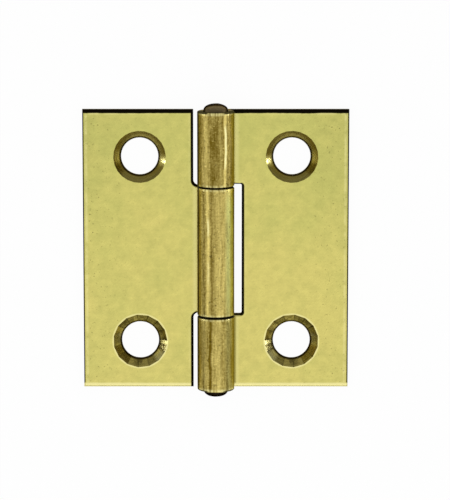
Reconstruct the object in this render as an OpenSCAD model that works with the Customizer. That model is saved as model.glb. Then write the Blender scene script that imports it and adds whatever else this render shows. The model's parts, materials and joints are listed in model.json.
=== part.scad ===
// Narrow butt hinge: two pressed sheet leaves with rolled knuckles, turning on a riveted pin.
// It lies open and flat on its back, with the pin along Y, the countersunk faces up and the
// mounting plane at Z = 0. Sizes are in millimetres.

/* [Leaves] */
// Length of each leaf, along the pin
leaf_length = 25; // [22:0.5:40]
// Width of each leaf, from the pin's axis to the outer edge
leaf_width = 11.8; // [10.5:0.1:18]
// Thickness of the sheet
sheet = 0.8; // [0.65:0.05:1.2]
// Radius that blanking rolls over along the front edges
front_roll = 0.26; // [0.05:0.01:0.3]
// Radius that breaks the back edges, which are the outer edges of a knuckle's ends
back_break = 0.12; // [0.03:0.01:0.2]

/* [Knuckles] */
// Length of pin that the centre knuckle takes, between the middles of its two gaps
centre_knuckle = 11.6; // [8:0.1:13]
// Gap between neighbouring knuckles
knuckle_gap = 0.12; // [0.06:0.01:0.3]
// Gap between the lip of a rolled knuckle and the face of its leaf
seam_gap = 0.08; // [0.03:0.01:0.2]
// Radius that rolling leaves on the front edges, at the mouths of a knuckle's bore
bore_break = 0.1; // [0.03:0.01:0.2]

/* [Notches] */
// Gap between an end knuckle and the leaf beside it
end_notch_gap = 0.35; // [0.25:0.05:0.8]
// Corner radius of the notches beside the end knuckles
end_notch_radius = 0.45; // [0.1:0.05:0.6]
// Gap between the centre knuckle and the leaf beside it
centre_notch_gap = 0.65; // [0.25:0.05:0.9]
// Corner radius of the notch beside the centre knuckle
centre_notch_radius = 0.15; // [0.1:0.05:0.4]

/* [Pin] */
// Diameter of the pin
pin_d = 1.6; // [1.4:0.05:2.4]
// Running clearance round the pin, on the radius
pin_clearance = 0.05; // [0.02:0.01:0.08]
// How far the riveted heads spread past the pin, on the radius
head_spread = 0.3; // [0.29:0.01:0.5]
// Height of a riveted head above the end of its knuckle
head_height = 0.68; // [0.3:0.02:0.8]
// Straight rim at the foot of a riveted head
head_rim = 0.1; // [0.05:0.01:0.15]

/* [Screw holes] */
// Diameter of the screw holes
hole_d = 3.3; // [3.2:0.05:4]
// Diameter of the countersinks at the front face
countersink_d = 4.65; // [4.2:0.05:4.75]
// Full angle of the countersinks
countersink_angle = 90; // [86:1:120]
// Distance of a hole's centre from the nearest end of its leaf
hole_from_end = 4.2; // [3.5:0.1:6]
// Distance of a hole's centre from the outer edge of its leaf
hole_from_edge = 5.05; // [3.5:0.05:6]

/* [Hidden] */
$fn = 96;

brass = [0.80, 0.77, 0.43];
dark_brass = [0.45, 0.38, 0.22];

// A cut runs this far past the faces that it opens
cut_past = 0.5;

// The sheet curls round this bore, so its front face becomes the bore's wall
bore_r = pin_d / 2 + pin_clearance;
knuckle_r = bore_r + sheet;

// The curl starts under the pin and ends where its lip is a seam's gap above the leaf
lip_angle = asin((bore_r - seam_gap) / knuckle_r);
curl_angle = 270 + lip_angle;

// The notches' straight edges, counted from the pin's axis
end_notch_x = knuckle_r + end_notch_gap;
centre_notch_x = knuckle_r + centre_notch_gap;

single_length = centre_knuckle - knuckle_gap;
twin_length = (leaf_length - centre_knuckle - knuckle_gap) / 2;
twin_y = (leaf_length - twin_length) / 2;

head_r = pin_d / 2 + head_spread;
dome_height = head_height - head_rim;
dome_r = (head_r * head_r + dome_height * dome_height) / (2 * dome_height);

module both_ways(axis) {
    children();
    mirror(axis) children();
}

// What a rounded corner loses: the corner is at the origin, with metal towards +X and +Y
module eased_corner(radius) {
    difference() {
        translate([-radius, -radius]) square(2 * radius);
        translate([radius, radius]) circle(radius);
    }
}

// Section of the blanked sheet: its front face is at X = 0, its back face at X = sheet
module sheet_section(length, front_radius = front_roll) {
    difference() {
        translate([0, -length / 2]) square([sheet, length]);
        both_ways([0, 1]) translate([0, -length / 2]) {
            eased_corner(front_radius);
            translate([sheet, 0]) mirror([1, 0]) eased_corner(back_break);
        }
    }
}

// Sheet whose section runs along Y, drawn out along X from one place to another
module strip_along_x(from, to, length) {
    translate([from, 0, sheet]) rotate([0, 90, 0])
        linear_extrude(to - from) sheet_section(length);
}

// Sheet whose section runs along X from one place to another, drawn out along Y
module strip_along_y(from, to, length) {
    translate([(from + to) / 2, 0, sheet]) rotate([-90, 0, 0]) rotate(90)
        linear_extrude(length, center = true) sheet_section(to - from);
}

// Flat of a leaf, from its notched edge to its outer edge, with every edge eased
module plate(notch_x) {
    intersection() {
        strip_along_x(notch_x - cut_past, leaf_width + cut_past, leaf_length);
        strip_along_y(notch_x, leaf_width, leaf_length + 2 * cut_past);
    }
}

// Tab that leaves the flat and curls round the pin, with its lip coming down on the leaf
module rolled_knuckle(notch_x, length) {
    strip_along_x(0, notch_x + 2 * front_roll, length);
    translate([0, 0, knuckle_r]) rotate([-90, 0, 0]) rotate(90)
        rotate_extrude(angle = curl_angle) translate([bore_r, 0]) sheet_section(length, bore_break);
}

// Rounded inner corner of a notch: the notch's edge is at +X of the origin, the tab at -Y
module notch_corner(radius) {
    reach = radius + 2 * front_roll;
    translate([-radius, radius, 0]) difference() {
        translate([0, -reach, 0]) cube([reach, reach, sheet]);
        rotate_extrude() difference() {
            translate([0, -cut_past]) square([reach + cut_past, sheet + 2 * cut_past]);
            translate([radius + reach, sheet]) rotate(-90) sheet_section(2 * reach);
        }
    }
}

// Screw hole through the flat, with its countersink open at the front
module screw_hole() {
    slope = tan(countersink_angle / 2);
    depth = (countersink_d - hole_d) / 2 / slope;
    rotate_extrude() polygon([
        [0, -cut_past],
        [hole_d / 2, -cut_past],
        [hole_d / 2, sheet - depth],
        [countersink_d / 2 + cut_past * slope, sheet + cut_past],
        [0, sheet + cut_past]
    ]);
}

module screw_holes() {
    both_ways([0, 1, 0])
        translate([leaf_width - hole_from_edge, leaf_length / 2 - hole_from_end, 0]) screw_hole();
}

// Leaf with one knuckle at its middle, lying to the left of the pin
module single_knuckle_leaf() {
    color(brass) mirror([1, 0, 0]) difference() {
        union() {
            plate(end_notch_x);
            rolled_knuckle(end_notch_x, single_length);
            both_ways([0, 1, 0])
                translate([end_notch_x, single_length / 2, 0]) notch_corner(end_notch_radius);
        }
        screw_holes();
    }
}

// Leaf with a knuckle at each end, lying to the right of the pin
module twin_knuckle_leaf() {
    color(brass) difference() {
        union() {
            plate(centre_notch_x);
            both_ways([0, 1, 0]) {
                translate([0, twin_y, 0]) rolled_knuckle(centre_notch_x, twin_length);
                translate([centre_notch_x, twin_length / 2 - twin_y, 0])
                    notch_corner(centre_notch_radius);
            }
        }
        screw_holes();
    }
}

// Head spread by riveting: a low dome on a short straight rim
module riveted_head() {
    intersection() {
        cylinder(r = head_r, h = head_height);
        translate([0, 0, head_height - dome_r]) sphere(dome_r);
    }
}

// Pin through all three knuckles, riveted over at both ends
module pin() {
    color(dark_brass) translate([0, 0, knuckle_r]) rotate([-90, 0, 0]) {
        cylinder(d = pin_d, h = leaf_length, center = true);
        both_ways([0, 0, 1]) translate([0, 0, leaf_length / 2]) riveted_head();
    }
}

single_knuckle_leaf();
twin_knuckle_leaf();
pin();
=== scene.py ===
import json
import math
from types import SimpleNamespace

import bmesh
import bpy
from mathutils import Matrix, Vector


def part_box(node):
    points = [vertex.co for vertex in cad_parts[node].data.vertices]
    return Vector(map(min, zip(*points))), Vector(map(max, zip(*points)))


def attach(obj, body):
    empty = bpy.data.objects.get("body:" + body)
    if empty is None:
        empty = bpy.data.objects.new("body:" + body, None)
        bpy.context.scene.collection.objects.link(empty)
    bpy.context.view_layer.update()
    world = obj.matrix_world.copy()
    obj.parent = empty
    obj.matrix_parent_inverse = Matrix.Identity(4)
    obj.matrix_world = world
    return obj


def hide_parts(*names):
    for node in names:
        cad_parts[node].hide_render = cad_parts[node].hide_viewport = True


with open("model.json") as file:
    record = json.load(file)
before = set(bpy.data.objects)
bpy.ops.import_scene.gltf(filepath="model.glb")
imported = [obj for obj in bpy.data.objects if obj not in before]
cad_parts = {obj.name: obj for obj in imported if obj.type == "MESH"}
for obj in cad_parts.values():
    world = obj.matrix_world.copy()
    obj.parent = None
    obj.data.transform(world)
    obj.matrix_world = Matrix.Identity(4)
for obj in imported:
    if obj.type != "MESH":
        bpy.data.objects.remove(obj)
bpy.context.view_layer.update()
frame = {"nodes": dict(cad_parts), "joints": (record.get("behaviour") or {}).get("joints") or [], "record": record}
mm = 1000  # pieces are modelled in millimetres, then scaled to metres

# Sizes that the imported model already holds
mounts = {mount["name"]: mount for mount in frame["record"]["mounts"]}
screws = mounts["twin_leaf_screws"]
singlePoints = [vertex.co * mm for vertex in frame["nodes"]["single_knuckle_leaf"].data.vertices]
twinPoints = [vertex.co * mm for vertex in frame["nodes"]["twin_knuckle_leaf"].data.vertices]
knuckleRadius = frame["joints"][0]["pos_m"][2] * mm
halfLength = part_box("twin_knuckle_leaf")[1].y * mm
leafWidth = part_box("twin_knuckle_leaf")[1].x * mm
centreEnd = max(point.y for point in singlePoints if point.x > 0)  # where the centre knuckle ends
outerStart = min(abs(point.y) for point in twinPoints if point.x < 0)  # where an end knuckle starts
endNotch = min(-point.x for point in singlePoints if point.y > 0.9 * halfLength)
notchReach = min(abs(point.y) for point in twinPoints)  # where the centre notch's straight edge ends
centreNotch = min(point.x for point in twinPoints if abs(point.y) < notchReach + 0.01)
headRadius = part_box("pin")[1].x * mm
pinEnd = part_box("pin")[1].y * mm
holeX = screws["pos_m"][0] * mm
holeY = screws["dims"]["spacing_y_mm"] / 2
holeRadius = screws["dims"]["hole_r_mm"]
print("frame read:", round(2 * halfLength, 2), "by", round(2 * leafWidth, 2), "mm")


# Selecting and finishing

def clearSelection():
    bpy.ops.object.select_all(action="DESELECT")


def activate(piece):
    clearSelection()
    piece.select_set(True)
    bpy.context.view_layer.objects.active = piece


def pick(kind, test):
    bpy.context.tool_settings.mesh_select_mode = [kind == name for name in ("verts", "edges", "faces")]
    bpy.ops.mesh.select_all(action="DESELECT")
    mesh = bmesh.from_edit_mesh(bpy.context.object.data)
    for part in getattr(mesh, kind):
        if test(part):
            part.select_set(True)
    mesh.select_flush_mode()
    bmesh.update_edit_mesh(bpy.context.object.data)


def near(a, b, slack=0.002):
    return abs(a - b) < slack


def middle(edge):
    return (edge.verts[0].co + edge.verts[1].co) / 2


def isUpright(edge):
    return near((edge.verts[0].co - edge.verts[1].co).xy.length, 0)


def fromPin(place):
    return math.hypot(place.x, place.z - knuckleRadius)


def cleanUp():
    bpy.ops.mesh.select_all(action="SELECT")
    bpy.ops.mesh.remove_doubles(threshold=0.0005)
    bpy.ops.mesh.normals_make_consistent(inside=False)


def applyModifiers(piece):
    activate(piece)
    for modifier in list(piece.modifiers):
        bpy.ops.object.modifier_apply(modifier=modifier.name)


def unevenSurface(piece, group, depth, stretch):
    clearSelection()
    bpy.ops.object.empty_add(location=(0, 0, 0))
    ruler = bpy.context.object
    ruler.scale = stretch
    bpy.context.view_layer.update()
    pattern = bpy.data.textures.new(piece.name, "CLOUDS")
    pattern.noise_scale = 1.0  # the ruler's stretch sets the size
    pattern.noise_depth = 1
    activate(piece)
    dents = piece.modifiers.new("dents", "DISPLACE")
    dents.texture = pattern
    dents.texture_coords = "OBJECT"
    dents.texture_coords_object = ruler
    dents.vertex_group = group
    dents.mid_level = 0
    dents.strength = -depth  # only inwards, so that the piece keeps its size
    bpy.ops.object.modifier_apply(modifier=dents.name)
    bpy.data.objects.remove(ruler)
    bpy.data.textures.remove(pattern)


def finishPiece(piece, smoothAngle):
    activate(piece)
    piece.scale = (1 / mm, 1 / mm, 1 / mm)
    bpy.ops.object.transform_apply(location=True, rotation=True, scale=True)
    piece.vertex_groups.clear()
    bpy.ops.object.shade_smooth_by_angle(angle=math.radians(smoothAngle))
    weighted = piece.modifiers.new("weighted", "WEIGHTED_NORMAL")
    weighted.keep_sharp = True
    applyModifiers(piece)
    print("piece made:", piece.name, len(piece.data.polygons), "faces")


# Leaves

leafShape = {
    "sheet": 0.8,
    "frontRoll": 0.26,  # edges rolled over by blanking
    "backRoll": 0.12,
    "rollSteps": 8,
    "seamGap": 0.08,
    "curlSteps": 90,
    "curlCuts": 0.45,  # spacing of the cuts across a knuckle
    "flatDepth": 0.016,  # how deep rolling leaves flats on a knuckle
    "flatStretch": (0.5, 5.0, 0.5),
    "smoothAngle": 14,
}
countersink = {
    "radius": {1: 2.325, -1: 2.41},  # to the corners, at the upper and the lower hole
    "angle": 90,
    "sides": {1: 24, -1: 15},  # the lower pair was cut with chatter
    "turn": {1: 3, -1: 7},
    "drillSides": 96,
    "standOut": 0.4,  # how far the cutter stands out of the front face
}


def bevelPicked(offset, segments):
    bpy.ops.mesh.bevel(
        offset=offset, offset_type="OFFSET", segments=segments, affect="EDGES", clamp_overlap=False)


def rolledEdge(edge, level, up):
    if len(edge.link_faces) != 2 or not all(near(vertex.co.z, level) for vertex in edge.verts):
        return False
    if all(near(vertex.co.x, 0) for vertex in edge.verts):
        return False
    tilts = sorted(face.normal.z * up for face in edge.link_faces)
    return tilts[0] < 0.1 and tilts[1] > 0.9


def cutHoles(leaf, side):
    sheet = leafShape["sheet"]
    slope = math.tan(math.radians(countersink["angle"] / 2))
    reach = countersink["standOut"]
    for end in (1, -1):
        spot = (side * holeX, end * holeY)
        mouth = countersink["radius"][end] + reach * slope
        depth = mouth / slope
        clearSelection()
        bpy.ops.mesh.primitive_cylinder_add(
            vertices=countersink["drillSides"], radius=holeRadius, depth=4 * sheet, location=(*spot, 0))
        drill = bpy.context.object
        clearSelection()
        bpy.ops.mesh.primitive_cone_add(
            vertices=countersink["sides"][end], radius1=0, radius2=mouth, depth=depth,
            location=(*spot, sheet + reach - depth / 2),
            rotation=(0, 0, -side * math.radians(countersink["turn"][end])))
        for cutter in (drill, bpy.context.object):
            activate(leaf)
            cut = leaf.modifiers.new("cut", "BOOLEAN")
            cut.operation = "DIFFERENCE"
            cut.solver = "EXACT"
            cut.object = cutter
            bpy.ops.object.modifier_apply(modifier=cut.name)
            bpy.data.objects.remove(cutter)


def curlKnuckles(side, tabs):
    sheet = leafShape["sheet"]
    lip = math.asin((knuckleRadius - sheet - leafShape["seamGap"]) / knuckleRadius)
    pick("faces", lambda face: near(face.calc_center_median().x, 0) and abs(face.normal.x) > 0.9)
    bpy.ops.mesh.spin(
        steps=leafShape["curlSteps"], angle=-side * (1.5 * math.pi + lip),
        center=(0, 0, knuckleRadius), axis=(0, 1, 0))
    cleanUp()
    for low, high in tabs:
        count = round((high - low) / leafShape["curlCuts"])
        for step in range(1, count):
            pick("faces", lambda face: low < face.calc_center_median().y < high
                 and fromPin(face.calc_center_median()) < knuckleRadius
                 and face.calc_center_median().z > sheet)
            bpy.ops.mesh.bisect(plane_co=(0, low + (high - low) * step / count, 0), plane_no=(0, 1, 0))
    pick("verts", lambda vertex: near(fromPin(vertex.co), knuckleRadius, 0.01) and vertex.co.z > sheet)


def makeLeaf(name, side, notch, tabs, notchCorner):
    sheet = leafShape["sheet"]
    clearSelection()
    bpy.ops.mesh.primitive_cube_add(size=1, location=(side * (notch + leafWidth) / 2, 0, sheet / 2))
    leaf = bpy.context.object
    leaf.name = name
    leaf.data.name = name
    leaf.scale = (leafWidth - notch, 2 * halfLength, sheet)
    bpy.ops.object.transform_apply(location=True, rotation=True, scale=True)
    bpy.ops.object.mode_set(mode="EDIT")
    inner = sorted({end for tab in tabs for end in tab if not near(abs(end), halfLength)})
    for cut in inner:
        bpy.ops.mesh.select_all(action="SELECT")
        bpy.ops.mesh.bisect(plane_co=(0, cut, 0), plane_no=(0, 1, 0))
    pick("faces", lambda face: face.normal.x * side < -0.9 and any(
        low < face.calc_center_median().y < high for low, high in tabs))
    bpy.ops.mesh.extrude_region_move(TRANSFORM_OT_translate={"value": (-side * notch, 0, 0)})
    pick("edges", lambda edge: isUpright(edge) and near(middle(edge).x, side * notch) and any(
        near(middle(edge).y, cut) for cut in inner))
    bevelPicked(notchCorner, leafShape["rollSteps"])
    bpy.ops.mesh.select_all(action="SELECT")
    bpy.ops.mesh.dissolve_limited(angle_limit=math.radians(1))  # one outline to roll, tabs and all
    pick("edges", lambda edge: rolledEdge(edge, sheet, 1))
    bevelPicked(leafShape["frontRoll"], leafShape["rollSteps"])
    pick("edges", lambda edge: rolledEdge(edge, 0, -1))
    bevelPicked(leafShape["backRoll"], leafShape["rollSteps"])
    curlKnuckles(side, tabs)
    bpy.ops.object.vertex_group_add()
    bpy.ops.object.vertex_group_assign()
    bpy.ops.object.mode_set(mode="OBJECT")
    unevenSurface(leaf, leaf.vertex_groups[0].name, leafShape["flatDepth"], leafShape["flatStretch"])
    cutHoles(leaf, side)
    finishPiece(leaf, leafShape["smoothAngle"])
    return leaf


singleTabs = [(-centreEnd, centreEnd)]
twinTabs = [(-halfLength, -outerStart), (outerStart, halfLength)]
notchCorners = {"end": 0.45, "centre": 0.15}
singleLeaf = makeLeaf("single_leaf", -1, endNotch, singleTabs, notchCorners["end"])
twinLeaf = makeLeaf("twin_leaf", 1, centreNotch, twinTabs, notchCorners["centre"])
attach(singleLeaf, "moving_leaf")
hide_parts("single_knuckle_leaf")
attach(twinLeaf, "fixed_leaf")
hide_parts("twin_knuckle_leaf")


# Pin

pinShape = {
    "radius": 0.8,
    "rim": 0.1,
    "domeSteps": 7,
    "domeFullness": 2.2,  # 2 is an even dome, and more is fuller
    "sides": 64,
    "dentDepth": 0.05,
    "dentStretch": (0.9, 0.9, 0.9),
    "smoothAngle": 35,
}


def raiseHead(end):
    pick("faces", lambda face: face.normal.y * end > 0.9
         and near(face.calc_center_median().y * end, halfLength))
    bpy.ops.mesh.extrude_region_move(TRANSFORM_OT_translate={"value": (0, 0, 0)})
    grow = headRadius / pinShape["radius"]
    spot = (0, end * halfLength, knuckleRadius)
    bpy.ops.transform.resize(value=(grow, 1, grow), center_override=spot)
    bpy.ops.mesh.extrude_region_move(TRANSFORM_OT_translate={"value": (0, end * pinShape["rim"], 0)})
    rise = pinEnd - halfLength - pinShape["rim"]
    width, height = headRadius, 0
    for step in range(1, pinShape["domeSteps"] + 1):
        newWidth = headRadius * math.cos(math.pi / 2 * step / (pinShape["domeSteps"] + 1))
        newHeight = rise * (1 - (newWidth / headRadius) ** pinShape["domeFullness"]) ** 0.5
        bpy.ops.mesh.extrude_region_move(TRANSFORM_OT_translate={"value": (0, end * (newHeight - height), 0)})
        bpy.ops.transform.resize(value=(newWidth / width, 1, newWidth / width), center_override=spot)
        width, height = newWidth, newHeight
    bpy.ops.mesh.poke()


def makePin():
    clearSelection()
    bpy.ops.mesh.primitive_cylinder_add(
        vertices=pinShape["sides"], radius=pinShape["radius"], depth=2 * halfLength,
        location=(0, 0, knuckleRadius), rotation=(math.pi / 2, 0, 0))
    pin = bpy.context.object
    pin.name = "riveted_pin"
    pin.data.name = "riveted_pin"
    bpy.ops.object.transform_apply(location=True, rotation=True, scale=True)
    bpy.ops.object.mode_set(mode="EDIT")
    for end in (1, -1):
        raiseHead(end)
    cleanUp()
    pick("verts", lambda vertex: abs(vertex.co.y) > halfLength + pinShape["rim"] / 2)
    bpy.ops.object.vertex_group_add()
    bpy.ops.object.vertex_group_assign()
    bpy.ops.object.mode_set(mode="OBJECT")
    unevenSurface(pin, pin.vertex_groups[0].name, pinShape["dentDepth"], pinShape["dentStretch"])
    finishPiece(pin, pinShape["smoothAngle"])
    return pin


pin = makePin()
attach(pin, "fixed_leaf")
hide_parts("pin")


# Shader maths

class Wire:
    def __init__(self, tree, socket=None):
        self.tree = tree
        self.socket = socket

    def node(self, kind, settings={}, values={}, output=0):
        made = self.tree.nodes.new(kind)
        for name, value in settings.items():
            if name == "stops":
                ramp = made.color_ramp
                ramp.elements.remove(ramp.elements[1])
                ramp.elements[0].position, ramp.elements[0].color = value[0]
                for position, colour in value[1:]:
                    ramp.elements.new(position).color = colour
            else:
                setattr(made, name, value)
        for name, value in values.items():
            if isinstance(value, Wire):
                self.tree.links.new(value.socket, made.inputs[name])
            else:
                made.inputs[name].default_value = value
        return Wire(self.tree, made.outputs[output])

    def maths(self, operation, *values):
        return self.node("ShaderNodeMath", {"operation": operation}, dict(enumerate(values)))

    def __add__(self, other):
        return self.maths("ADD", self, other)

    __radd__ = __add__

    def __sub__(self, other):
        return self.maths("SUBTRACT", self, other)

    def __rsub__(self, other):
        return self.maths("SUBTRACT", other, self)

    def __mul__(self, other):
        return self.maths("MULTIPLY", self, other)

    __rmul__ = __mul__

    def __truediv__(self, other):
        return self.maths("DIVIDE", self, other)

    def __abs__(self):
        return self.maths("ABSOLUTE", self)

    def least(self, other):
        return self.maths("MINIMUM", self, other)

    def most(self, other):
        return self.maths("MAXIMUM", self, other)

    def above(self, other):
        return self.maths("GREATER_THAN", self, other)

    def ease(self, low, high):  # 0 at low, 1 at high, either way round
        return self.node(
            "ShaderNodeMapRange", {"interpolation_type": "SMOOTHSTEP"}, {0: self, 1: low, 2: high})

    def blend(self, first, second):  # this wire is how much of the second colour shows
        return self.node("ShaderNodeMix", {"data_type": "RGBA"}, {0: self, 6: first, 7: second}, 2)

    def shade(self, colour):  # a colour made lighter or darker by this wire
        return self.node("ShaderNodeVectorMath", {"operation": "SCALE"}, {0: colour, "Scale": self})

    def into(self, socket):
        self.tree.links.new(self.socket, socket)


def newMaterial(name):
    material = bpy.data.materials.new(name)
    material.use_nodes = True
    return material, Wire(material.node_tree), material.node_tree.nodes["Principled BSDF"]


def noiseAt(start, vector, scale, detail=2.0, roughness=0.5):
    return start.node("ShaderNodeTexNoise", {}, {
        "Vector": vector, "Scale": scale, "Detail": detail, "Roughness": roughness})


def joined(start, x, y, z):
    return start.node("ShaderNodeCombineXYZ", {}, {0: x, 1: y, 2: z})


def split(start, vector):
    made = start.node("ShaderNodeSeparateXYZ", {}, {0: vector})
    return [Wire(start.tree, socket) for socket in made.socket.node.outputs]


def inMillimetres(start):
    spot = start.node("ShaderNodeTexCoord", output="Object")
    return start.node("ShaderNodeVectorMath", {"operation": "SCALE"}, {0: spot, "Scale": mm})


# Leaf finish

leafFinish = {
    "warmBrass": (0.628, 0.556, 0.164, 1),
    "coolBrass": (0.530, 0.508, 0.144, 1),
    "wornAndHighlightBrass": (0.84, 0.77, 0.34, 1),  # edges and rims that rub, and painted highlights on rims, edges and countersinks
    # near black for the sheared walls, and for painted shade on the rolled edges, the knuckle ends and the knuckle
    # sides
    "cutEdgeAndShade": (0.005, 0.0035, 0.0015, 1),
    "tornEdge": (0.16, 0.12, 0.04, 1),  # lower part of a cut, where the sheet broke away
    "cutEnd": (0.30, 0.225, 0.08),  # outer ends of the knuckles
    "rollDark": (0.13, 0.085, 0.005, 1),  # knuckles, dark end of the painted light and shade bands and of the rolling marks
    "rollLight": (0.79, 0.645, 0.20, 1),
    "rollReflectedTint": (0.62, 0.61, 0.20, 1),
    "rollShade": (0.11, 0.10, 0.035, 1),
    "paintedHighlight": (0.95, 0.89, 0.44, 1),
    # painted shadow beside the lower knuckle
    "knuckleShadow": (0.20, 0.17, 0.02, 1),
    "dish": (0.40, 0.33, 0.085),
    "dirt": (0.03, 0.02, 0.004, 1),
    "grazing": (0.75, 0.66, 0.36, 1),
    "roughness": 0.26,
    "bumpDepth": 0.000006,
}
# Painted highlight and painted shade on each knuckle, as lengthwise bands: degrees from the top of the curl, and
# how light the brass is there
centreLightAndShade = [
    (-165, 0.25), (-140, 0.4), (-120, 0.22), (-90, 0.3), (-58, 0.4), (-50, 0.55), (-40, 0.28),
    (-34, 0.42), (-30, 0.52), (-26, 0.72), (-23, 0.72), (-18, 0.4), (-13, 0.27), (-3, 0.48), (6, 0.58),
    (20, 0.58), (28, 0.5), (37, 0.8), (44, 0.85), (58, 0.85), (68, 0.5), (80, 0.3), (92, 0.45),
    (102, 0.2), (118, 0.4), (130, 0.15), (148, 0.45), (160, 0.2), (180, 0.3),
]
upperLightAndShade = [
    (-165, 0.2), (-140, 0.4), (-120, 0.2), (-90, 0.2), (-57, 0.33), (-42, 0.42), (-33, 0.65),
    (-22, 0.32), (-11, 0.22), (5, 0.28), (15, 0.45), (24, 0.3), (29, 0.78), (34, 0.82), (39, 0.36),
    (58, 0.45), (90, 0.4), (110, 0.15), (135, 0.4), (160, 0.2),
]
lowerLightAndShade = [
    (-160, 0.3), (-140, 0.1), (-115, 0.35), (-90, 0.25), (-60, 0.38), (-35, 0.45), (-24, 0.38),
    (-17, 0.0), (-11, 0.46), (0, 0.6), (14, 0.58), (20, 0.36), (33, 0.45), (50, 0.5), (70, 0.48),
    (90, 0.35), (105, 0.15), (130, 0.4), (160, 0.2),
]
# Highlights painted on the knuckles as lines: degrees from the top of the curl, from where to where, and how
# bright
centreHighlightLines = [(-25, 1.3, 3.4, 0.5), (-24, -3.0, -0.4, 0.25)]
outerHighlightLines = [(31.5, 7.3, 11.6, 0.9)]


# Where a point is on its leaf: distances in millimetres, and masks from 0 to 1
def leafPlaces(start, side, notch, corner, inTab):
    at = SimpleNamespace(side=side, place=inMillimetres(start))
    at.x, at.y, at.z = split(start, at.place)
    at.tiltY, at.tiltZ = split(start, start.node("ShaderNodeTexCoord", output="Normal"))[1:]
    at.flatness = abs(at.tiltZ)
    at.front = at.tiltZ.ease(0.9, 0.97)
    at.lowerHalf = at.y.ease(2, -2)
    at.patches = noiseAt(start, at.place, 0.55, 3, 0.6)

    at.rise = at.z - knuckleRadius
    at.reach = start.maths("SQRT", at.x * at.x + at.rise * at.rise)  # from the pin's axis
    at.turn = start.maths("ARCTAN2", at.x, at.rise)  # round the pin, 0 at the top of the curl
    at.onCurl = at.reach.ease(knuckleRadius + 0.06, knuckleRadius + 0.015)
    at.onEnd = at.onCurl * abs(at.tiltY).ease(0.75, 0.95)
    outerEnd = abs(at.y).ease(halfLength - 0.6, halfLength - 0.4)
    at.outerEnd = outerEnd * (1 - 0.85 * at.y.above(0) * at.rise.ease(-0.4, 0.4))

    at.acrossHole = at.x - side * holeX
    at.alongHole = at.y - holeY * (at.y.above(0) * 2 - 1)
    at.fromHole = start.maths("SQRT", at.acrossHole * at.acrossHole + at.alongHole * at.alongHole)
    at.bearing = start.maths("ARCTAN2", at.alongHole, at.acrossHole)
    byHole = at.fromHole.ease(2.65, 2.55)
    at.inDish = byHole * at.flatness.ease(0.95, 0.85)

    at.fromTab = inTab(at.y)  # how far along the pin this is inside a tab
    pastNotch = (abs(at.x) - notch + corner).most(0)
    pastTab = (at.fromTab + corner).most(0)
    fromCorner = start.maths("SQRT", pastNotch * pastNotch + pastTab * pastTab)
    fromNotch = fromCorner - corner
    nearFront = at.z.ease(0.2, 0.5)
    # painted shade: bands on the rolled top edge and notch edges go dark like the walls
    notchShadeBand = (fromNotch - 0.11 * pastNotch / fromCorner.most(0.001)).ease(0.15, 0.07) * nearFront
    topShadeBand = (halfLength - at.y + (at.patches - 0.5) * 0.12).ease(0.35, 0.28) * nearFront
    # painted highlight: a band along the bottom edge, made lighter and kept out of the dark edge band
    at.bottomEdge = (halfLength + at.y).ease(0.42, 0.32)
    cutAway = at.flatness + at.bottomEdge * 0.55 + at.tiltY.ease(0.1, 0.4) * 0.2
    onWall = cutAway.ease(0.93, 0.7).most(topShadeBand).most(notchShadeBand)
    at.onWall = onWall * (1 - byHole) * (1 - at.onCurl)
    at.fromEdge = (leafWidth - abs(at.x)).least(halfLength - abs(at.y)).least(fromNotch)
    return at


def addPatterns(start, at):
    at.cloud = noiseAt(start, at.place, 0.16, 2)
    at.mottle = noiseAt(start, at.place, 1.1, 4, 0.62)
    at.grain = noiseAt(start, at.place, 7.0, 3, 0.6)
    at.speckle = noiseAt(start, at.place, 5.5, 3, 0.7)
    at.lines = noiseAt(start, joined(start, at.x * 0.5, at.y * 5, at.z), 1.0, 3, 0.6)
    slanted = joined(start, (at.x + at.y) * 0.8, (at.x - at.y) * 5, at.z)
    at.scratches = noiseAt(start, slanted, 1.0, 3, 0.7).ease(0.56, 0.68)
    pitShare = 0.25 + 0.75 * abs(at.x).ease(leafWidth - 5, leafWidth)
    at.pits = noiseAt(start, at.place, 5.5, 2).ease(0.66, 0.74) * pitShare
    at.streaks = noiseAt(start, joined(start, at.turn * 6.5, at.y * 0.22, 0), 1.0, 4, 0.65)
    at.hair = noiseAt(start, joined(start, at.turn * 26, at.y * 0.7, 0), 1.0, 3, 0.6)
    roundHole = joined(start, at.fromHole * 9, at.bearing * 0.6, at.lowerHalf * 5)
    at.turned = noiseAt(start, roundHole, 1.0, 3, 0.6)


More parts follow.
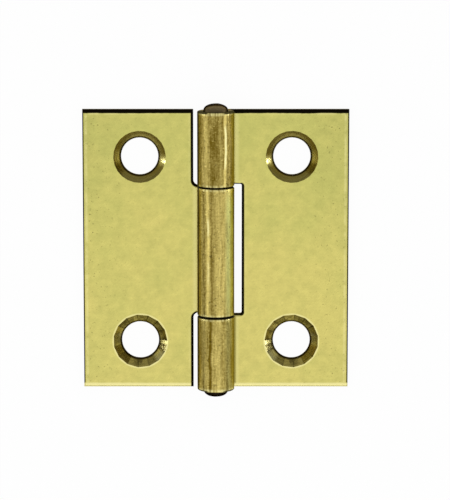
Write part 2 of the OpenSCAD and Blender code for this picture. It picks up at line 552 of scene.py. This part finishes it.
def facePaint(at):
    handled = (at.cloud - 0.5) * 1.3 + (at.patches - 0.5) * 1.3
    handled = handled + at.y.ease(12, -7) * 0.75 + abs(at.x).ease(12, 4) * 0.15
    face = handled.blend(leafFinish["coolBrass"], leafFinish["warmBrass"])
    outerTop = at.y.ease(0, 10) * abs(at.x).ease(leafWidth - 5, leafWidth - 1)
    level = 0.685 + at.mottle * 0.34 + at.grain * 0.18 + at.lines * 0.1 + at.scratches * 0.06
    face = (level - outerTop * 0.05).shade(face)
    face = (at.pits * 0.6).blend(face, leafFinish["dirt"])
    # edge wear and painted highlight: a lighter band just inside the edges
    rubAndHighlight = at.fromEdge.ease(0.18, 0.3) * at.fromEdge.ease(0.5, 0.34) * at.flatness.ease(0.9, 0.97)
    rubAndHighlight = rubAndHighlight * (0.4 + 0.6 * abs(at.x).ease(4, 8))
    face = (rubAndHighlight * at.mottle.ease(0.3, 0.6) * 0.4).blend(face, leafFinish["wornAndHighlightBrass"])
    besideCurl = at.fromTab.ease(-0.1, 0.1) * at.front
    # painted highlight: a lighter band on the leaf beside each knuckle
    creaseHighlight = at.reach.ease(knuckleRadius + 0.7, knuckleRadius + 0.35) * besideCurl
    face = (creaseHighlight * 0.35).blend(face, leafFinish["wornAndHighlightBrass"])
    # painted shadow: darker olive on the leaf beside the lower knuckle
    knuckleShadow = at.reach.ease(knuckleRadius + 0.42, knuckleRadius + 0.24) * besideCurl
    knuckleShadow = knuckleShadow * at.x.above(0) * at.lowerHalf
    face = (knuckleShadow * 0.7).blend(face, leafFinish["knuckleShadow"])
    # a lighter ring round the lower countersinks, and the painted highlight along the bottom edge
    ring = at.fromHole.ease(2.55, 2.45) * at.front * at.lowerHalf
    return (ring * 0.75).most(at.bottomEdge * 0.8).blend(face, leafFinish["wornAndHighlightBrass"])


def paintedLightTone(start, around, lightAndShadeMarks):
    stops = [((angle + 180) / 360, (level, level, level, 1)) for angle, level in lightAndShadeMarks]
    ramp = start.node("ShaderNodeValToRGB", {"stops": stops}, {0: (around + 180) / 360})
    return start.node("ShaderNodeRGBToBW", {}, {0: ramp})


def curlPaint(start, at, lightAndShadeMarks, highlightLines):
    wander = noiseAt(start, joined(start, at.y * 0.25, 0, 0), 1.0, 2) - 0.5
    degrees = at.turn * (180 / math.pi) + wander * 18
    tone = paintedLightTone(start, degrees, lightAndShadeMarks[0])
    for lowerKnuckle in lightAndShadeMarks[1:]:
        lower = paintedLightTone(start, degrees, lowerKnuckle)
        tone = lower + (tone - lower) * at.y.above(0)
    patchy = noiseAt(start, joined(start, at.turn * 2, at.y * 0.7, 0), 1.0, 3, 0.6)
    tone = 0.48 + (tone - 0.5) * (2.8 * patchy - 0.4)
    scuffs = noiseAt(start, joined(start, at.turn * 4, at.y * 7, 0), 1.0, 2).ease(0.58, 0.72)
    scuffs = scuffs * patchy.ease(0.48, 0.56)
    tone = tone + (at.streaks - 0.5) * 0.8 + (at.hair - 0.5) * 0.5
    tone = tone + (at.speckle - 0.5) * 0.7 + scuffs * 0.3
    # painted reflection: a paler, greener tone on the knuckle's right flank
    coolReflection = at.turn.ease(0.4, 0.75) * at.turn.ease(1.4, 1.1)
    coolReflection = coolReflection * at.y.ease(6.5, 4) * (0.5 + 0.5 * at.y.ease(-6.5, -4))
    light = coolReflection.blend(leafFinish["rollLight"], leafFinish["rollReflectedTint"])
    curl = tone.ease(0.0, 1.05).blend(leafFinish["rollDark"], light)
    specks = noiseAt(start, at.place, 3.6, 2).ease(0.64, 0.72)
    curl = (specks * 0.55).blend(curl, leafFinish["dirt"])
    fromKnuckleEnd = abs(abs(at.y) - (centreEnd + outerStart) / 2).least(halfLength - abs(at.y))
    worn = fromKnuckleEnd.ease(0.36, 0.14) * (0.2 + 0.8 * at.streaks.ease(0.42, 0.58))
    curl = (worn * 0.75).blend(curl, leafFinish["wornAndHighlightBrass"])
    # painted highlight lines along the knuckles
    for angle, low, high, strength in highlightLines:
        line = abs(degrees - angle).ease(4.2, 1.8) * at.y.ease(low, low + 0.7) * at.y.ease(high, high - 0.7)
        curl = (line * (0.55 + 0.9 * at.speckle) * strength).blend(curl, leafFinish["paintedHighlight"])
    farSide = at.turn.ease(1.15, 1.3) * at.turn.ease(1.6, 1.4)
    curl = (farSide * 0.5).blend(curl, leafFinish["rollShade"])
    cutEnd = (0.2 + 0.9 * at.speckle + 0.5 * (at.patches - 0.5)).shade(leafFinish["cutEnd"])
    return (at.onEnd * at.outerEnd).blend(curl, cutEnd)


def curlPaintedShade(at):
    # painted shade: a dark line along each knuckle's side above the leaf, dark outlines at the knuckles'
    # shoulders, and a dark line by the lower gap
    shadeAlongLeaf = at.turn.ease(-1.04, -1.2) * (at.turn + (at.streaks - 0.5) * 0.6).ease(-1.5, -1.25)
    shadedShoulders = (halfLength - abs(at.y)).ease(0.17, 0.1) * at.y.above(0).most(1 - at.onEnd)
    shadedShoulders = shadedShoulders * abs(at.turn).ease(0.35, 0.55) * abs(at.turn).ease(2.0, 1.6)
    gapShade = at.fromTab.ease(0.1, 0.04) * at.lowerHalf
    return at.onCurl * shadeAlongLeaf.most(shadedShoulders).most(gapShade)


def dishPaint(start, at):
    side = at.side
    firstWedge = math.pi / 2 - side * math.radians(countersink["turn"][-1])
    wedge = (at.bearing - firstWedge) * (countersink["sides"][-1] / (2 * math.pi))
    wedgeNumber = start.maths("FLOOR", wedge)
    chatter = start.node("ShaderNodeTexWhiteNoise", {"noise_dimensions": "1D"}, {"W": wedgeNumber})
    ridge = abs(start.maths("FRACT", wedge) - 0.5).ease(0.4, 0.5)
    aside = start.maths("ARCTAN2", at.alongHole, at.acrossHole * -side)  # 0 nearest to the knuckle
    litOuterLow = aside.ease(-1.6, -2.0) * aside.ease(-3.1, -2.8)
    # painted shade and painted light: the dish is darker towards the top of each hole, more so on the lower pair,
    # and lighter low on the outer side
    level = 0.6 - at.alongHole.ease(-1.5, 1.5) * (0.02 + 0.12 * at.lowerHalf) + at.turned * 0.6
    level = level + ((chatter - 0.4) * 0.7 - ridge * 0.4) * at.lowerHalf
    level = level + 0.35 * litOuterLow * at.lowerHalf
    dish = level.shade(leafFinish["dish"])
    chips = joined(start, at.acrossHole * side, at.alongHole, at.z)
    stains = noiseAt(start, chips, 1.7, 3, 0.7).ease(0.46, 0.6) * at.fromHole.ease(2.45, 2.0) * at.lowerHalf
    dish = (stains * (0.6 - 0.35 * litOuterLow)).blend(dish, leafFinish["dirt"])
    # painted highlight: the lower countersinks are paler on the knuckle side, below the middle
    paleSheen = aside.ease(-0.42, -0.55) * aside.ease(-0.95, -0.75) * at.lowerHalf
    dish = (paleSheen * 0.75).blend(dish, leafFinish["wornAndHighlightBrass"])
    struck = aside.ease(-0.5, -0.38) * aside.ease(0.1, 0.0) * at.lowerHalf
    dish = (struck * 0.9).blend(dish, leafFinish["dirt"])
    # painted highlights: glints on the countersinks' sides
    outerGlint = (at.acrossHole * side).ease(1.4, 1.9) * abs(at.alongHole).ease(0.8, 0.3) * 0.42
    upperGlint = (at.acrossHole * -side).ease(1.4, 1.9) * abs(at.alongHole + 0.3).ease(0.7, 0.2) * 0.7
    upperGlint = upperGlint * (1 - at.lowerHalf)
    lowerGlint = abs(aside + 0.07).ease(0.11, 0.05) * at.lowerHalf * 0.65
    dish = outerGlint.most(upperGlint).most(lowerGlint).blend(dish, leafFinish["wornAndHighlightBrass"])
    # painted highlight broken up by noise into bright flecks
    fleckedHighlight = noiseAt(start, chips, 6.5, 2).ease(0.46, 0.54)
    fleckedHighlight = fleckedHighlight * aside.ease(-0.12, -0.25) * aside.ease(-0.95, -0.75) * at.lowerHalf
    dish = (fleckedHighlight * (0.9 - 0.5 * struck)).blend(dish, leafFinish["wornAndHighlightBrass"])
    holeRim = at.fromHole.ease(holeRadius + 0.22, holeRadius + 0.1)
    return (holeRim * 0.97).blend(dish, leafFinish["dirt"])


def makeLeafBrass(name, side, notch, corner, lightAndShadeMarks, highlightLines, inTab):
    material, start, shader = newMaterial(name)
    at = leafPlaces(start, side, notch, corner, inTab)
    addPatterns(start, at)
    colour = at.onCurl.blend(facePaint(at), curlPaint(start, at, lightAndShadeMarks, highlightLines))
    colour = at.inDish.blend(colour, dishPaint(start, at))
    torn = at.onWall * at.z.ease(0.42, 0.3) * at.z.ease(-0.05, 0.12)
    # walls, rolled edges, knuckle ends beside the gaps and lines along the knuckles turn near black: painted
    # shade, apart from the walls' own dark cut
    darkEdgeAndShade = (at.onWall - torn * 0.8).most(at.onEnd * (0.97 - 0.65 * at.outerEnd))
    darkEdgeAndShade = darkEdgeAndShade.most(curlPaintedShade(at) * 0.9)
    colour = torn.blend(colour, leafFinish["tornEdge"])
    darkEdgeAndShade.blend(colour, leafFinish["cutEdgeAndShade"]).into(shader.inputs["Base Color"])
    rough = leafFinish["roughness"] + (at.mottle - 0.5) * 0.08
    rough = rough + at.onCurl * 0.05 + at.onWall * 0.35 - at.inDish * 0.08
    rough.into(shader.inputs["Roughness"])
    height = at.grain * 0.25 + at.lines * 0.2 - at.scratches * 0.2 - at.pits * 0.5
    height = height + at.onCurl * (at.streaks * 1.5 + at.hair * 0.6 + at.speckle * 0.5)
    height = height + at.inDish * at.turned
    bump = start.node("ShaderNodeBump", {}, {
        "Strength": 1.0, "Distance": leafFinish["bumpDepth"], "Height": height})
    bump.into(shader.inputs["Normal"])
    (1 - 0.95 * darkEdgeAndShade).into(shader.inputs["Metallic"])
    shader.inputs["Specular IOR Level"].default_value = 0
    shader.inputs["Specular Tint"].default_value = leafFinish["grazing"]
    return material


def dress(piece, material):
    piece.data.materials.clear()
    piece.data.materials.append(material)


dress(singleLeaf, makeLeafBrass(
    "single_leaf_brass", -1, endNotch, notchCorners["end"],
    [centreLightAndShade], centreHighlightLines, lambda y: centreEnd - abs(y)))
dress(twinLeaf, makeLeafBrass(
    "twin_leaf_brass", 1, centreNotch, notchCorners["centre"],
    [upperLightAndShade, lowerLightAndShade], outerHighlightLines, lambda y: abs(y) - outerStart))


# Pin finish

pinFinish = {
    "tarnish": (0.016, 0.011, 0.006, 1),
    "brass": (0.19, 0.145, 0.07, 1),
    "grazing": (0.10, 0.08, 0.05, 1),
    "roughness": 0.42,
    "bumpDepth": 0.00001,
}


def makePinBrass():
    material, start, shader = newMaterial("pin_brass_tarnished")
    place = inMillimetres(start)
    y = split(start, place)[1]
    patches = noiseAt(start, place, 1.6, 3, 0.6)
    grain = noiseAt(start, place, 7.0, 3, 0.6)
    tiltY, tiltZ = split(start, start.node("ShaderNodeTexCoord", output="Normal"))[1:]
    # painted light: the pin turns from tarnish to brass where its surface faces up, towards the top end and
    # towards the dome tips
    paintedLight = (0.5 + patches) * tiltZ.ease(0.2, 0.6) * (0.6 + 0.8 * grain) * y.ease(-2, 2)
    paintedLight = paintedLight * (0.45 + 0.7 * (abs(y) - halfLength).ease(0.1, 0.4))
    struck = abs(tiltY).ease(0.8, 0.96) * tiltZ.ease(0.45, 0.1)
    struck = struck * (0.1 + 0.9 * patches.ease(0.35, 0.6)) * (0.4 + 0.6 * grain)
    paintedLight.most(struck).blend(pinFinish["tarnish"], pinFinish["brass"]).into(shader.inputs["Base Color"])
    (pinFinish["roughness"] + (grain - 0.5) * 0.2).into(shader.inputs["Roughness"])
    bump = start.node("ShaderNodeBump", {}, {
        "Strength": 1.0, "Distance": pinFinish["bumpDepth"], "Height": grain + patches})
    bump.into(shader.inputs["Normal"])
    shader.inputs["Metallic"].default_value = 1
    shader.inputs["Specular Tint"].default_value = pinFinish["grazing"]
    return material


dress(pin, makePinBrass())
print("finishes made")


# Stage

stageSettings = {
    "floorSize": 40.0,
    "floorDrop": 0.00001,
    "paper": (0.9, 0.9, 0.9, 1),
    "floorGlow": 0.95,  # share of the floor that shows plain white, and the rest takes the shadow
}


def makeFloor():
    clearSelection()
    bpy.ops.mesh.primitive_plane_add(
        size=stageSettings["floorSize"], location=(0, 0, -stageSettings["floorDrop"]))
    floor = bpy.context.object
    floor.name = "floor"
    material, start, shader = newMaterial("white_floor")
    start.tree.nodes.remove(shader)
    paths = start.node("ShaderNodeLightPath").socket.node.outputs
    camera, glossy, clear = (
        Wire(start.tree, paths[name]) for name in ("Is Camera Ray", "Is Glossy Ray", "Is Transmission Ray"))
    paper = start.node("ShaderNodeBsdfDiffuse", {}, {"Color": stageSettings["paper"]})
    glow = start.node("ShaderNodeEmission", {}, {"Color": (1, 1, 1, 1), "Strength": 1.0})
    share = camera.most(glossy).most(clear) * stageSettings["floorGlow"]
    mixed = start.node("ShaderNodeMixShader", {}, {0: share, 1: paper, 2: glow})
    mixed.into(start.tree.nodes["Material Output"].inputs["Surface"])
    dress(floor, material)


makeFloor()

cameraSettings = {
    "distance": 0.26,
    "lean": 9.7,
    "lens": 210.5,
    "sensor": 36,
    "nearest": 0.01,
    "aim": (0.000815, -0.00005, 0.0008),
}


def makeCamera():
    data = bpy.data.cameras.new("camera")
    camera = bpy.data.objects.new("camera", data)
    bpy.context.scene.collection.objects.link(camera)
    lean = math.radians(cameraSettings["lean"])
    data.sensor_width = cameraSettings["sensor"]
    data.lens = cameraSettings["lens"]
    data.clip_start = cameraSettings["nearest"]
    camera.rotation_euler = (-lean, 0, 0)
    away = Vector((0, math.sin(lean), math.cos(lean)))
    camera.location = Vector(cameraSettings["aim"]) + away * cameraSettings["distance"]
    bpy.context.scene.camera = camera


makeCamera()

# Each lamp: place, size across and along, and glow, where 1 lights brass to its own colour
lamps = {
    "overhead": ((0, -0.14, 0.5), (1.3, 0.50), 0.37),
    "front": ((0, -0.62, 0.45), (1.0, 0.36), 0.8),
    "left_side": ((-0.7, -0.1, 0.42), (0.5, 0.34), 0.45),
    "right_side": ((0.7, -0.1, 0.42), (0.5, 0.34), 0.45),
    "left_strip": ((-0.8, 0.04, 0.07), (0.1, 0.14), 12.0),
    "right_strip": ((0.8, 0.04, 0.07), (0.1, 0.14), 12.0),
}


def makeLamp(name, place, size, glow):
    data = bpy.data.lights.new(name, "AREA")
    data.shape = "RECTANGLE"
    data.size, data.size_y = size
    data.energy = glow * math.pi * size[0] * size[1]
    lamp = bpy.data.objects.new(name, data)
    bpy.context.scene.collection.objects.link(lamp)
    lamp.location = place
    lamp.visible_camera = False
    lamp.rotation_mode = "QUATERNION"
    lamp.rotation_quaternion = (-Vector(place)).to_track_quat("-Z", "Y")


for lampName, (place, size, glow) in lamps.items():
    makeLamp(lampName, place, size, glow)

skySettings = {"horizon": 0.2, "above": 0.7}


def makeSky():
    world = bpy.data.worlds.new("studio")
    bpy.context.scene.world = world
    world.use_nodes = True
    start = Wire(world.node_tree)
    z = split(start, start.node("ShaderNodeTexCoord", output="Generated"))[2]
    level = skySettings["horizon"] + z.ease(0.04, 0.4) * (skySettings["above"] - skySettings["horizon"])
    joined(start, level, level, level).into(world.node_tree.nodes["Background"].inputs["Color"])


makeSky()
bpy.context.scene.view_settings.view_transform = "Standard"
print("stage set")
